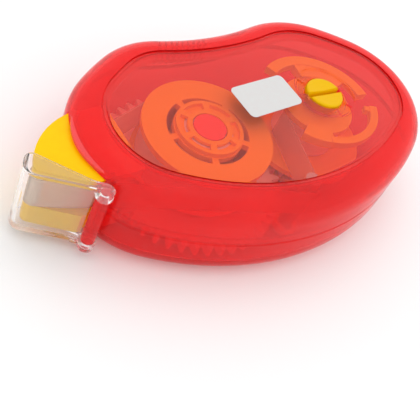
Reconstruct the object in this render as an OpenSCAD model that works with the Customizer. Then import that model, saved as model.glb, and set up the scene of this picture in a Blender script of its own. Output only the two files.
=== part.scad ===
// Refillable tape roller: an egg-shaped translucent housing lies on its flat back and holds
// a geared pair of reels, a projecting nose with a tip roller, and a clear swinging tip cap.
// Millimetres. X runs from the nose (-X) to the tail, Z up out of the back.
// The origin is on the back face, under the axis of the supply reel.

/* [Outline of the top panel] */
// Centre of the nose-end corner, X
nose_end_x = -8.8; // [-10:0.1:-7]
// Centre of the nose-end corner, Y
nose_end_y = 2.2; // [1:0.1:3]
// Radius of the nose-end corner
nose_end_r = 17.4; // [16.5:0.1:18.5]
// Centre of the tail corner, X
tail_x = 42.6; // [41:0.1:45]
// Centre of the tail corner, Y
tail_y = 0.7; // [0:0.1:1.5]
// Radius of the tail corner
tail_r = 16.6; // [15.5:0.1:18]
// Centre of the rear hump, X
hump_x = 35.7; // [34.5:0.1:37]
// Centre of the rear hump, Y
hump_y = 3.7; // [3:0.1:4.5]
// Radius of the rear hump
hump_r = 18.8; // [18:0.1:19.5]
// Centre of the front shoulder, X
brow_x = -4.1; // [-5:0.1:-3]
// Centre of the front shoulder, Y
brow_y = 7; // [6:0.1:8]
// Radius of the front shoulder
brow_r = 15.7; // [15:0.1:16.5]
// Radius of the long belly curve from nose to tail
belly_r = 63.4; // [58:0.2:70]
// Radius of the curve between tail and hump
rump_r = 54.4; // [48:0.2:62]
// Radius of the hollow finger rest between hump and shoulder
rest_r = 81; // [70:0.5:95]
// Radius of the curve between shoulder and nose end
front_r = 68.4; // [60:0.2:80]

/* [Housing] */
// Overall thickness, back face to top panel
thickness = 25.5; // [25:0.1:28]
// Wall of both shells
wall = 1.5; // [1.2:0.1:1.8]
// How far the side wall stands out past the panel edge
shoulder_w = 7.1; // [6.6:0.1:8]
// Height of the rounded shoulder
shoulder_h = 7; // [6:0.1:8]
// Flat rim between panel edge and shoulder
rim_w = 0.8; // [0.5:0.1:1.2]
// Thickness of the top panel
panel_t = 1.6; // [1.2:0.1:2]
// Width of the ledge that carries the panel
ledge_w = 1.8; // [1:0.1:2]
// Thickness of that ledge
ledge_t = 0.9; // [0.7:0.1:1.2]
// Height of the locating lip at the parting line
lip_h = 1.2; // [0.8:0.1:2]
// Width of the groove round the edge of the panel
groove_w = 0.9; // [0.6:0.1:1.2]
// Depth of that groove
groove_d = 0.5; // [0.3:0.1:0.8]
// Number of grip ribs in the finger rest
grip_ribs = 9; // [6:1:12]
// Height of a grip rib
rib_h = 0.5; // [0.3:0.1:0.7]

/* [Gears] */
// Gear module
gear_module = 1; // [0.96:0.01:1.02]
// Teeth of the supply gear
drive_teeth = 46; // [44:1:47]
// Teeth of the take-up gear
take_up_teeth = 24; // [22:1:25]
// Thickness of both gears
gear_t = 2.4; // [1.8:0.1:2.6]
// Play taken off each tooth
backlash = 0.12; // [0.08:0.01:0.25]

/* [Reels and tape] */
// Width of the tape
tape_w = 8.4; // [7.6:0.1:8.6]
// Thickness of a free stretch of tape
tape_t = 0.25; // [0.2:0.05:0.35]
// Radius of the reel flanges
flange_r = 16.2; // [15.6:0.1:16.8]
// Thickness of the reel flanges
flange_t = 1.5; // [1.2:0.1:1.6]
// Outer radius of the supply core
supply_core_r = 11.6; // [11:0.1:12.5]
// Radius of the full supply roll
supply_roll_r = 15; // [14:0.1:15.4]
// Outer radius of the take-up core
take_up_core_r = 7; // [6:0.1:7.5]
// Radius of the liner wound on the take-up core
take_up_roll_r = 8.6; // [8:0.1:10]
// Height of the friction ring between gear and supply reel
clutch_h = 1.8; // [1.6:0.1:2]
// Wall of the gear sleeve that the supply reel turns on
sleeve_t = 2.5; // [2:0.1:3]
// Outer radius of the raised hub of the supply reel
hub_r = 8.3; // [7.9:0.1:8.5]
// Inner radius of the slotted ring in that hub
ring_in = 5.55; // [5.3:0.05:5.8]
// Outer radius of that ring
ring_out = 7.4; // [7:0.1:7.8]
// Radius of the red cap on the supply post
post_cap_r = 4; // [3.7:0.1:4.2]
// Inner radius of the wing on the take-up reel
wing_in = 13.2; // [12.6:0.1:13.8]
// Width of the hooked spring arm on the take-up reel
arm_w = 2.1; // [1.8:0.1:2.4]

/* [Tension knob] */
// Radius of the knob
knob_r = 5; // [4.5:0.1:5.6]
// Width of the coin slot across the knob
slot_w = 1.7; // [1.2:0.1:2.2]
// Depth of the coin slot
slot_d = 1.6; // [1:0.1:2]
// Outer radius of the stepped bezel round the knob
bezel_r = 8.4; // [7.8:0.1:9]

/* [Cassette] */
// Thickness of the cassette base plate
base_t = 1.4; // [1.2:0.1:1.6]
// Height of the feet under the base plate
foot_h = 0.8; // [0.6:0.1:1]
// Radius of the supply post
supply_post_r = 3.5; // [3.2:0.1:3.8]
// Radius of the take-up post
take_up_post_r = 2.5; // [2:0.1:3]
// Radius of the base plate under the supply reel
plate_r = 20; // [18:0.5:21]
// Radius of the base plate under the take-up reel
take_up_plate_r = 12; // [10:0.5:14]
// Radius of the tip roller
tip_roller_r = 1.5; // [1.4:0.05:1.6]
// Radius of the tip roller axle
tip_axle_r = 0.8; // [0.6:0.05:0.9]
// Radius of the cheeks round the tip
cheek_tip_r = 1.75; // [1.6:0.05:1.8]
// Radius of the curved far edge of the nose
nose_arc_r = 19.7; // [19:0.1:20.5]
// Length of the straight front edge of the nose
nose_front = 11; // [10:0.1:11.4]
// Underside of the nose above the back face
nose_z0 = 4.7; // [4.4:0.1:5]
// Thickness of the upper cheek
cover_t = 1.6; // [1.2:0.1:1.6]
// Radius of the front tape guide
front_guide_r = 1.2; // [1:0.1:1.4]
// Radius of the rear tape guide
rear_guide_r = 2; // [1.6:0.1:2.4]

/* [Tip cap] */
// Hinge axis, X
hinge_x = -33.3; // [-34:0.1:-33]
// Hinge axis, Y
hinge_y = -9.9; // [-10.4:0.1:-9.6]
// Direction of the closed cap from its hinge, degrees
cap_angle = 147.3; // [146:0.1:149]
// Length from hinge to the outer end wall
cap_len = 17.5; // [17:0.1:19]
// How far the tip roller axis lies inside the outer end of the cap
tip_inset = 3.92; // [3.6:0.02:4.2]
// How far the tip roller axis lies behind the hinge line of the cap
tip_rise = 4.12; // [3.9:0.02:4.3]
// How far the ears stand past the side walls
ear_lip = 0.4; // [0.2:0.1:0.6]
// Wall of the cap
cap_t = 1.1; // [0.9:0.05:1.2]
// Depth of the side walls near the hinge
cap_depth_root = 2.4; // [2:0.1:3]
// Depth of the side walls at the end
cap_depth_end = 6.3; // [5:0.1:7]
// Radius of the outer corner
cap_corner_r = 3; // [2:0.1:3.4]
// Radius of the rear corner of the side walls
cap_back_r = 2; // [1:0.1:2.4]
// Radius of the hinge ears
ear_r = 2; // [1.9:0.05:2.2]
// Thickness of the hinge ears
ear_t = 2.3; // [2:0.1:2.6]
// Skin that closes the ears over the stub pins
ear_skin = 0.6; // [0.4:0.1:0.8]
// Radius of the red knuckle between the ears
knuckle_r = 1.65; // [1.5:0.05:1.8]
// Radius of the stub pins that carry the ears
stub_r = 1.1; // [0.9:0.05:1.2]

/* [Label] */
// Length of the blank label on the panel
label_l = 17; // [15:0.5:18]
// Width of the label
label_w = 10; // [8:0.5:11]
// Corner radius of the label
label_r = 1.5; // [1:0.1:2]
// Thickness of the label film
label_t = 0.1; // [0.08:0.01:0.2]

/* [Clearances] */
// Radial play of a turning fit
run_gap = 0.06; // [0.04:0.01:0.1]
// Gap between pieces that must not rub
air_gap = 0.3; // [0.25:0.05:0.4]
// Gap between pieces that are clipped together
snap_gap = 0.05; // [0.02:0.01:0.1]
// Play at each edge of the tape
edge_gap = 0.2; // [0.15:0.05:0.3]
// End play of a turning piece
end_gap = 0.1; // [0.05:0.05:0.2]

/* [Hidden] */
$fn = 64;

// Points on an arc, leaving out its last one
function spoke(turn) = [cos(turn), sin(turn)];
function arc(c, r, a, b, n) = [for (k = [0 : n - 1]) c + r * spoke(a + (b - a) * k / n)];
function heading(v) = atan2(v[1], v[0]);
function turn_past(a, b) = b < a ? turn_past(a, b + 360) : b;
function turn_below(a, b) = b > a ? turn_below(a, b - 360) : b;
function turn_near(a, b) = turn_past(a - 180, turn_below(a + 180, b));

// Plan positions; the tip sits in the closed cap
axle_gap = gear_module * (drive_teeth + take_up_teeth) / 2;
take_up_at = [axle_gap, 0];
hinge_at = [hinge_x, hinge_y];
tip_at = hinge_at + (cap_len - tip_inset) * spoke(cap_angle) + tip_rise * spoke(cap_angle - 90);

// Heights, from the back face up
parting_z = thickness / 2;
base_z = wall + foot_h;
deck_z = base_z + base_t;
thrust_h = 0.9;
gear_z = deck_z + thrust_h;
gear_top = gear_z + gear_t;
reel_z = gear_top + clutch_h + end_gap;
tape_z = reel_z + flange_t + edge_gap;
tape_top = tape_z + tape_w;
reel_top_z = tape_top + edge_gap;
reel_top = reel_top_z + flange_t;
cheek_top = tape_z - edge_gap;
cover_z = reel_top_z;
nose_top = cover_z + cover_t;
panel_z = thickness - panel_t;
// Room between the reels and the panel, shared by the hubs below and the knob above
headroom = panel_z - reel_top;
hub_top = reel_top + 0.38 * headroom;
hub_plate_z = reel_top + 0.15 * headroom;
post_top = reel_top + 0.08 * headroom;
knob_z = panel_z - 0.25 * headroom;
bezel_z = panel_z - 0.3 * headroom;

// The outline: corner circles joined by tangent arcs; a negative radius is a hollow one
CORNERS = [[nose_end_x, nose_end_y, nose_end_r], [tail_x, tail_y, tail_r],
    [hump_x, hump_y, hump_r], [brow_x, brow_y, brow_r]];
BLENDS = [belly_r, rump_r, -rest_r, front_r];
CORNER_STEPS = [8, 8, 6, 8];
BLEND_STEPS = [12, 6, 0, 8];
// The hollow arc runs from hump to shoulder: plain as far as the ribs, then four points to a rib
PLAIN_STEPS = 4;
RIB_FROM = 0.42;
RIB_TO = 0.92;
RIB_SHAPE = [0, 0.75, 1, 0.75];
REST_STEPS = concat([for (k = [0 : PLAIN_STEPS - 1]) [RIB_FROM * k / PLAIN_STEPS, 0]],
    [for (k = [0 : 4 * grip_ribs - 1]) let (share = k / (4 * grip_ribs))
        [RIB_FROM + (RIB_TO - RIB_FROM) * share, RIB_SHAPE[k % 4]]],
    [[RIB_TO, 0]]);
function corner_at(i) = [CORNERS[i % 4][0], CORNERS[i % 4][1]];
function corner_r(i) = CORNERS[i % 4][2];
// Centre of the arc that touches corner i and the next one
function blend_at(i) =
    let (a = corner_at(i), b = corner_at(i + 1), reach_a = abs(BLENDS[i % 4] - corner_r(i)),
        reach_b = abs(BLENDS[i % 4] - corner_r(i + 1)), span = norm(b - a), along = (b - a) / span,
        foot = (reach_a * reach_a - reach_b * reach_b + span * span) / (2 * span),
        rise = sqrt(reach_a * reach_a - foot * foot))
    a + foot * along + sign(BLENDS[i % 4]) * rise * [-along[1], along[0]];
function corner_arc(i, o) =
    let (from = heading(sign(BLENDS[(i + 3) % 4]) * (corner_at(i) - blend_at(i + 3))),
        to = heading(sign(BLENDS[i]) * (corner_at(i) - blend_at(i))))
    arc(corner_at(i), corner_r(i) + o, from, turn_past(from, to), CORNER_STEPS[i]);
function blend_arc(i, o, rib) =
    let (from = heading(corner_at(i) - blend_at(i)), to = heading(corner_at(i + 1) - blend_at(i)),
        sweep = turn_below(from, to) - from)
    BLENDS[i] > 0
        ? arc(blend_at(i), BLENDS[i] + o, from, turn_past(from, to), BLEND_STEPS[i])
        : [for (s = REST_STEPS) blend_at(i) - (BLENDS[i] + o + rib * s[1]) * spoke(from + sweep * s[0])];
// The panel outline moved outwards by o, with ribs of the given height in the finger rest
function outline(o, rib = 0) = [for (i = [0 : 3]) each concat(corner_arc(i, o), blend_arc(i, o, rib))];

// Solid between levels of the outline, each level [outward offset, height, rib height if it has ribs];
// a closed run of levels makes a ring, an open one is capped at both ends
module loft(levels, closed) {
    n = len(outline(0));
    m = len(levels);
    points = [for (s = levels) let (rib = is_undef(s[2]) ? 0 : s[2])
        each [for (p = outline(s[0], rib)) [p[0], p[1], s[1]]]];
    sides = [for (i = [0 : m - (closed ? 1 : 2)], j = [0 : n - 1], half = [0, 1])
        let (a = i * n + j, b = i * n + (j + 1) % n, c = ((i + 1) % m) * n + (j + 1) % n,
            d = ((i + 1) % m) * n + j)
        half == 0 ? [a, c, b] : [a, d, c]];
    caps = closed ? [] : [[for (j = [0 : n - 1]) j], [for (j = [n - 1 : -1 : 0]) (m - 1) * n + j]];
    polyhedron(points, concat(sides, caps));
}

module slab(points, z0, z1) {
    translate([0, 0, z0]) linear_extrude(z1 - z0) polygon(points);
}

module drum(at, r, z0, z1) {
    translate([at[0], at[1], z0]) cylinder(r = r, h = z1 - z0);
}

// Quarter-round levels of a shell wall: r runs from the side wall to the flat
SHOULDER_STEPS = 5;
function round_level(inset, a) =
    [rim_w + (shoulder_w - rim_w - inset) * cos(a), (shoulder_h - inset) * sin(a)];
function round_up(inset, last) = [for (k = [0 : SHOULDER_STEPS])
    let (s = round_level(inset, last * k / SHOULDER_STEPS)) [s[0], thickness - shoulder_h + s[1]]];
function round_down(inset, last) = [for (k = [SHOULDER_STEPS : -1 : 0])
    let (s = round_level(inset, last * k / SHOULDER_STEPS)) [s[0], shoulder_h - s[1]]];
function reversed(list) = [for (k = [len(list) - 1 : -1 : 0]) list[k]];
inner_o = shoulder_w - wall;
lip_t = wall / 2;
ledge_z = panel_z - ledge_t;
ledge_turn = asin((ledge_z - thickness + shoulder_h) / (shoulder_h - wall));

// Nose outline, grown by e: curved far edge, rounded tip, straight front edge, then the tail points
front_turn = cap_angle + 180;
nose_arc_turn = -23.3;
nose_arc_at = tip_at + (nose_arc_r - cheek_tip_r) * spoke(nose_arc_turn);
NOSE_ARC_END = 100;
function front_start(e) = tip_at + (cheek_tip_r + e) * spoke(front_turn - 90);
function nose_outline(e, tail) = concat(
    arc(nose_arc_at, nose_arc_r + e, NOSE_ARC_END, nose_arc_turn + 180, 10),
    arc(tip_at, cheek_tip_r + e, nose_arc_turn + 180, front_turn - 90, 8),
    [front_start(e), front_start(e) + nose_front * spoke(front_turn)], tail);
nose_root_x = -24;
nose_root_y = 13;
// The front guide pushes the used liner out of its straight line from the tip to the rear guide
gear_tip_r = gear_module * (drive_teeth / 2 + 1);
rear_turn = -48.5;
guide_room = 1.2;
rear_guide_at = (gear_tip_r + rear_guide_r + guide_room) * spoke(rear_turn);
nose_neck = 4.2;
front_guide_x = nose_root_x - nose_neck;
guide_push = 0.67;
guide_lead = 0.2;
liner_slope = (rear_guide_at[1] - tip_at[1]) / (rear_guide_at[0] - tip_at[0]);
front_guide_at = [front_guide_x, tip_at[1] + liner_slope * (front_guide_x - tip_at[0]) - guide_push];
throat = front_guide_at - [guide_lead, front_guide_r];
function mouth_outline(e) = nose_outline(e,
    [throat + [0, -e], [nose_root_x, throat[1] - e], [nose_root_x, nose_root_y + e]]);
function cheek_outline(root_x) = nose_outline(0, [throat, [root_x, throat[1]], [root_x, nose_root_y]]);

// Hinge of the tip cap, centred on the nose
hinge_mid = (nose_z0 + nose_top) / 2;
hinge_h = nose_top - nose_z0 + 2 * (air_gap + cap_t + ear_lip);
ear_top = hinge_mid + hinge_h / 2;
ear_bottom = hinge_mid - hinge_h / 2;
knuckle_top = ear_top - ear_t - end_gap;
knuckle_bottom = ear_bottom + ear_t + end_gap;
web_t = 1.6;
web_drop = 1.5;
web_root = 0.5;
web_line = corner_at(0) - hinge_at;
wall_reach = norm(web_line) - corner_r(0) - shoulder_w;

module mouth() {
    slab(mouth_outline(air_gap), nose_z0 - air_gap, nose_top + air_gap);
}

// Hinge knuckle with a stub pin at each end; its web is rooted in the upper wall and clears the lower one
module knuckle() {
    web_bottom = knuckle_bottom + web_drop;
    web_step = parting_z + air_gap;
    web_top = knuckle_top - web_drop;
    drum(hinge_at, knuckle_r, knuckle_bottom, knuckle_top);
    drum(hinge_at, stub_r, ear_bottom + ear_skin + end_gap, ear_top - ear_skin - end_gap);
    translate([hinge_x, hinge_y, 0]) rotate(heading(web_line)) translate([0, web_t / 2, 0])
        rotate([90, 0, 0]) linear_extrude(web_t) polygon([[0, web_bottom], [wall_reach - air_gap, web_bottom],
            [wall_reach - air_gap, web_step], [wall_reach + web_root, web_step],
            [wall_reach + web_root, web_top], [0, web_top]]);
}

module bottom_shell() {
    color([0.92, 0.12, 0.16, 0.8]) difference() {
        loft(concat(round_down(0, 90), [[shoulder_w, parting_z], [inner_o + lip_t, parting_z],
            [inner_o + lip_t, parting_z + lip_h], [inner_o, parting_z + lip_h]],
            reversed(round_down(wall, 90))), false);
        mouth();
    }
}

// Upper shell: ribbed side wall, rounded shoulder, rim and ledge for the panel, rebate for the lip
module top_shell() {
    rib_start = 0.5;
    side = [[shoulder_w, parting_z], [shoulder_w, parting_z + rib_start],
        [shoulder_w, parting_z + 2 * rib_start, rib_h], [shoulder_w, thickness - shoulder_h, rib_h]];
    shoulder = [for (k = [1 : SHOULDER_STEPS]) round_up(0, 90)[k]];
    seat = [[snap_gap, thickness], [snap_gap, panel_z], [-ledge_w, panel_z], [-ledge_w, ledge_z]];
    rebate_o = inner_o + lip_t + snap_gap;
    rebate_z = parting_z + lip_h + snap_gap;
    rebate = [[inner_o, rebate_z], [rebate_o, rebate_z], [rebate_o, parting_z]];
    color([0.92, 0.12, 0.16, 0.8]) union() {
        difference() {
            loft(concat(side, shoulder, seat, reversed(round_up(wall, ledge_turn)), rebate), true);
            mouth();
        }
        knuckle();
    }
}

module ring_sector(at, r0, r1, from, to, z0, z1) {
    translate([at[0], at[1], z0]) rotate(from) rotate_extrude(angle = to - from)
        translate([r0, 0]) square([r1 - r0, z1 - z0]);
}

// Clear top panel with a grooved edge and the stepped bezel of the knob, notched for fingertips
module top_panel() {
    bezel_step = 0.5;
    bezel_wall = 1.2;
    hole_r = knob_r + air_gap;
    color([1, 0.35, 0.38, 0.6]) difference() {
        union() {
            slab(outline(0), panel_z, thickness - groove_d);
            slab(outline(-groove_w), panel_z, thickness);
            drum(take_up_at, hole_r + bezel_wall, bezel_z, panel_z);
        }
        drum(take_up_at, hole_r, bezel_z - 1, thickness + 1);
        drum(take_up_at, bezel_r, thickness - bezel_step, thickness + 1);
        for (turn = [126, -90])
            ring_sector(take_up_at, hole_r - 1, hole_r + 2 * bezel_wall, turn, turn + 44,
                panel_z + bezel_step, thickness + 1);
    }
}

// Blank film label on the panel, between the hub of the supply reel and the knob
module panel_label() {
    reach = [label_l / 2 - label_r, label_w / 2 - label_r];
    label_at = [axle_gap / 2, 2.7];
    label_turn = 4;
    corners = [[1, 1], [-1, 1], [-1, -1], [1, -1]];
    color([0.94, 0.94, 0.92]) translate([label_at[0], label_at[1], 0]) rotate(label_turn)
        slab([for (k = [0 : 3]) each arc([corners[k][0] * reach[0], corners[k][1] * reach[1]], label_r,
            90 * k, 90 * k + 90, 6)], thickness, thickness + label_t);
}

// Frame of the cap: first axis along the cap, second into its open side
module cap_frame() {
    translate([hinge_x, hinge_y, 0]) rotate(cap_angle) mirror([0, 1, 0]) children();
}

module tip_cap() {
    face_v = 0.1;
    plate_top = ear_top - ear_lip;
    plate_bottom = ear_bottom + ear_lip;
    swing_gap = 0.4;
    root_u = knuckle_r + swing_gap;
    open_v = cap_depth_end + 5;
    corner = [cap_len - cap_corner_r, face_v + cap_corner_r];
    back = [cap_len - cap_back_r, cap_depth_end - cap_back_r];
    inner_r = cap_corner_r - cap_t;
    color([0.9, 0.93, 0.95, 0.4]) cap_frame() difference() {
        union() {
            slab(concat([[root_u, face_v]], arc(corner, cap_corner_r, -90, 0, 8),
                [[cap_len, corner[1]]], arc(back, cap_back_r, 0, 90, 6),
                [[back[0], cap_depth_end], [root_u, cap_depth_root]]), plate_bottom, plate_top);
            for (z = [ear_bottom, ear_top - ear_t]) {
                drum([0, 0], ear_r, z, z + ear_t);
                translate([0, face_v, z]) cube([root_u + 1.5, ear_r - face_v, ear_t]);
            }
        }
        slab(concat([[-root_u, face_v + cap_t]], arc(corner, inner_r, -90, 0, 8),
            [[cap_len - cap_t, corner[1]], [cap_len - cap_t, open_v], [-root_u, open_v]]),
            plate_bottom + cap_t, plate_top - cap_t);
        drum([0, 0], knuckle_r + swing_gap, ear_bottom + ear_t, ear_top - ear_t);
        drum([0, 0], stub_r + run_gap, ear_bottom + ear_skin, ear_top - ear_skin);
    }
}

// Cassette: base plate on feet, reel posts, riser to the nose, lower cheek and the core between the tapes
gear_clear = gear_tip_r + 0.7;
core_x0 = tip_at[0] + 3.2;
core_x1 = nose_root_x - 7;
core_y = tip_at[1];
core_outline = [[core_x0, core_y - 1.7], [core_x1, core_y - 4.2], [core_x1, core_y + 5],
    [core_x0, core_y + 1.4]];
PEGS = [[core_x0 + 2.6, core_y - 0.1], [core_x1 - 1.8, core_y]];
peg_r = 1;
peg_h = cover_t / 2;
post_bore = supply_post_r - 1.2;
link_w = 14;
arm_plate_w = 4;
riser_edge = 2.2;
riser_l = 8;
riser_w = 15;
foot_r = 2;
foot_inset = 3;
FEET = concat([for (turn = [40 : 120 : 280]) (plate_r - foot_inset) * spoke(turn)],
    [for (turn = [-60, 60]) take_up_at + (take_up_plate_r - foot_inset) * spoke(turn)]);

// Plate under both reels, with a bridge to the nose and an arm to the rear tape guide
module cassette_plate() {
    drum([0, 0], plate_r, base_z, deck_z);
    drum(take_up_at, take_up_plate_r, base_z, deck_z);
    translate([0, -link_w / 2, base_z]) cube([axle_gap, link_w, base_t]);
    translate([nose_root_x - 1, throat[1], base_z]) cube([riser_w, riser_w, base_t]);
    drum(rear_guide_at, rear_guide_r + 1, base_z, deck_z);
    translate([0, 0, base_z]) rotate(rear_turn) translate([0, -arm_plate_w / 2, 0])
        cube([norm(rear_guide_at), arm_plate_w, base_t]);
    for (p = FEET)
        drum(p, foot_r, wall, base_z);
}

module cassette_frame() {
    color([0.97, 0.78, 0.05]) difference() {
        union() {
            cassette_plate();
            drum([0, 0], supply_post_r + 2, deck_z, gear_z - end_gap);
            drum([0, 0], supply_post_r, deck_z, post_top);
            drum(take_up_at, take_up_post_r + 2, deck_z, gear_z - end_gap);
            drum(take_up_at, take_up_post_r, deck_z, tape_top - 2);
            difference() {
                union() {
                    intersection() {
                        slab(outline(riser_edge), base_z, nose_z0 + 1);
                        translate([nose_root_x - riser_l, throat[1], 0]) cube([riser_l, riser_w, thickness]);
                    }
                    slab(cheek_outline(nose_root_x), nose_z0, cheek_top);
                }
                drum([0, 0], gear_clear, deck_z, gear_top + air_gap);
            }
            slab(core_outline, cheek_top, cover_z);
            for (p = PEGS)
                drum(p, peg_r, cover_z, cover_z + peg_h);
        }
        drum([0, 0], post_bore, deck_z, thickness);
        drum(tip_at, tip_axle_r, nose_z0 + 1, cheek_top + 1);
    }
}

// Upper cheek, pressed on the pegs and the tip axle
axle_cover = 0.4;
module nose_cover() {
    color([0.98, 0.8, 0.05]) difference() {
        slab(cheek_outline(nose_root_x + 3), cover_z, nose_top);
        for (p = PEGS)
            drum(p, peg_r + snap_gap, cover_z - 1, cover_z + peg_h + end_gap);
        drum(tip_at, tip_axle_r, cover_z - 1, nose_top - axle_cover);
    }
}

// Smooth posts that turn the used liner back towards the take-up reel
module tape_guides() {
    color([0.85, 0.85, 0.86]) union() {
        drum(front_guide_at, front_guide_r, cheek_top, cover_z);
        drum(rear_guide_at, rear_guide_r, deck_z, reel_top);
    }
}

module tip_roller_axle() {
    color([0.75, 0.76, 0.78]) drum(tip_at, tip_axle_r, nose_z0 + 1, nose_top - axle_cover);
}

module tip_roller() {
    color([0.93, 0.93, 0.9]) difference() {
        drum(tip_at, tip_roller_r, tape_z, tape_top);
        drum(tip_at, tip_axle_r + run_gap, tape_z - 1, tape_top + 1);
    }
}

// Tape path. A wheel is [centre, radius of the tape's middle, side]: side 1 passes it anticlockwise
lay = air_gap + tape_t / 2;
supply_wheel = [[0, 0], supply_roll_r + lay, 1];
tip_wheel = [tip_at, tip_roller_r + lay, 1];
front_wheel = [front_guide_at, front_guide_r + lay, 1];
rear_wheel = [rear_guide_at, rear_guide_r + lay, 1];
take_up_wheel = [take_up_at, take_up_roll_r + lay, -1];
// Angle on both wheels' rims, seen from each centre, where the straight run between them touches
function run_turn(a, b) =
    let (d = b[0] - a[0], lean = asin((b[1] * b[2] - a[1] * a[2]) / norm(d)))
    heading(d) - 90 - lean;
function leave_turn(a, b) = a[2] > 0 ? run_turn(a, b) : run_turn(a, b) + 180;
function meet_turn(a, b) = b[2] > 0 ? run_turn(a, b) : run_turn(a, b) + 180;
function rim(w, r, turn) = w[0] + r * spoke(turn);
// Both edges of a tape stretch follow the same turns, half a thickness in and out
function wrap(w, side, from, to, n) =
    [for (k = [0 : n]) rim(w, w[1] + side * w[2] * tape_t / 2, from + (to - from) * k / n)];

tip_turn = 180;
module feed_tape() {
    leave = leave_turn(supply_wheel, tip_wheel);
    meet = turn_below(tip_turn, meet_turn(supply_wheel, tip_wheel) + 360);
    function edge(side) = concat([rim(supply_wheel, supply_wheel[1] + side * tape_t / 2, leave)],
        wrap(tip_wheel, side, meet, tip_turn, 4));
    color([0.96, 0.96, 0.94]) slab(concat(edge(1), reversed(edge(-1))), tape_z, tape_top);
}

module spent_liner() {
    tip_leave = turn_past(tip_turn, leave_turn(tip_wheel, front_wheel));
    front_meet = meet_turn(tip_wheel, front_wheel);
    front_leave = turn_near(front_meet, leave_turn(front_wheel, rear_wheel));
    rear_meet = meet_turn(front_wheel, rear_wheel);
    rear_leave = turn_past(rear_meet, leave_turn(rear_wheel, take_up_wheel));
    function edge(side) = concat(wrap(tip_wheel, side, tip_turn, tip_leave, 4),
        wrap(front_wheel, side, front_meet, front_leave, 2),
        wrap(rear_wheel, side, rear_meet, rear_leave, 6),
        [rim(take_up_wheel, take_up_wheel[1] - side * tape_t / 2, meet_turn(rear_wheel, take_up_wheel))]);
    color([0.9, 0.86, 0.78]) slab(concat(edge(1), reversed(edge(-1))), tape_z, tape_top);
}

// Involute gear outline with a tooth at the given turn
PRESSURE = 20;
function involute(a) = tan(a) - a * PI / 180;
function flank(teeth, r) =
    let (pitch = gear_module * teeth / 2, base = pitch * cos(PRESSURE), a = r > base ? acos(base / r) : 0)
    90 / teeth + (involute(PRESSURE) - involute(a)) * 180 / PI - backlash / pitch * 90 / PI;
ROOT_DEPTH = 1.25;
FLANK = [-ROOT_DEPTH, -0.5, 0.3, 1];
function tooth_point(teeth, depth, turn, side) =
    let (r = gear_module * (teeth / 2 + depth)) r * spoke(turn + side * flank(teeth, r));
function gear_outline(teeth, turn) = [for (k = [0 : teeth - 1]) let (at = turn + 360 * k / teeth) each concat(
    [for (depth = FLANK) tooth_point(teeth, depth, at, -1)],
    [for (depth = reversed(FLANK)) tooth_point(teeth, depth, at, 1)])];

// Large gear with the sleeve that carries the supply reel, lightened by six holes
sleeve_r = supply_post_r + sleeve_t;
module drive_gear() {
    hole_r = 2.6;
    hole_at = supply_core_r + 1;
    color([0.93, 0.92, 0.88]) difference() {
        union() {
            slab(gear_outline(drive_teeth, 0), gear_z, gear_top);
            drum([0, 0], sleeve_r, gear_top, post_top - end_gap);
        }
        drum([0, 0], supply_post_r + run_gap, gear_z - 1, thickness);
        for (turn = [0 : 60 : 300])
            rotate(turn) drum([hole_at, 0], hole_r, gear_z - 1, gear_top + 1);
    }
}

// Friction ring that lets the supply reel slip on its gear
module clutch_ring() {
    ring_r = supply_core_r - 2;
    bump_r = 1.4;
    color([0.25, 0.25, 0.27]) difference() {
        union() {
            drum([0, 0], ring_r, gear_top, gear_top + clutch_h / 2);
            for (turn = [30 : 120 : 270])
                rotate(turn) drum([(ring_r + sleeve_r) / 2, 0], bump_r, gear_top, gear_top + clutch_h);
        }
        drum([0, 0], sleeve_r + snap_gap, gear_top - 1, reel_z);
    }
}

// Red push-in cap that keeps gear and reel on the supply post
module supply_retainer() {
    stem_l = 6;
    color([0.88, 0.1, 0.14]) union() {
        drum([0, 0], post_cap_r, post_top, hub_top);
        drum([0, 0], post_bore - snap_gap, post_top - stem_l, post_top + end_gap);
    }
}

module supply_core() {
    core_wall = 1.3;
    color([0.96, 0.72, 0.1]) difference() {
        union() {
            drum([0, 0], flange_r, reel_z, reel_z + flange_t);
            drum([0, 0], supply_core_r, reel_z, reel_top_z);
        }
        drum([0, 0], supply_core_r - core_wall, reel_z + flange_t, reel_top);
        drum([0, 0], sleeve_r + run_gap, reel_z - 1, reel_top);
    }
}

// Upper flange with five curved slots, and a raised hub with a ring of six more round the red cap
module supply_flange() {
    slot_out = supply_core_r - 1.4;
    slot_t = 1.6;
    slot_bridge = 10;
    spoke_turn = 14;
    color([0.98, 0.76, 0.1]) difference() {
        union() {
            drum([0, 0], flange_r, reel_top_z, reel_top);
            drum([0, 0], hub_r, reel_top, hub_top);
        }
        drum([0, 0], sleeve_r + run_gap, reel_top_z - 1, hub_plate_z);
        drum([0, 0], post_cap_r + air_gap, reel_top, hub_top + 1);
        for (k = [0 : 4])
            ring_sector([0, 0], slot_out - slot_t, slot_out, 32 + 72 * k + slot_bridge / 2,
                104 + 72 * k - slot_bridge / 2, reel_top_z - 1, hub_top + 1);
        for (k = [0 : 5])
            ring_sector([0, 0], ring_in, ring_out, 6 + 60 * k + spoke_turn / 2,
                66 + 60 * k - spoke_turn / 2, post_top, hub_top + 1);
    }
}

module supply_tape() {
    color([0.95, 0.95, 0.92]) difference() {
        drum([0, 0], supply_roll_r, tape_z, tape_top);
        drum([0, 0], supply_core_r + snap_gap, tape_z - 1, tape_top + 1);
    }
}

module take_up_gear() {
    mesh_turn = 180 + 180 / take_up_teeth;
    color([0.93, 0.92, 0.88]) difference() {
        union() {
            translate(take_up_at) slab(gear_outline(take_up_teeth, mesh_turn), gear_z, gear_top);
            drum(take_up_at, take_up_core_r - 1, gear_top, reel_z);
        }
        drum(take_up_at, take_up_post_r + run_gap, gear_z - 1, reel_z + 1);
    }
}

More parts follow.
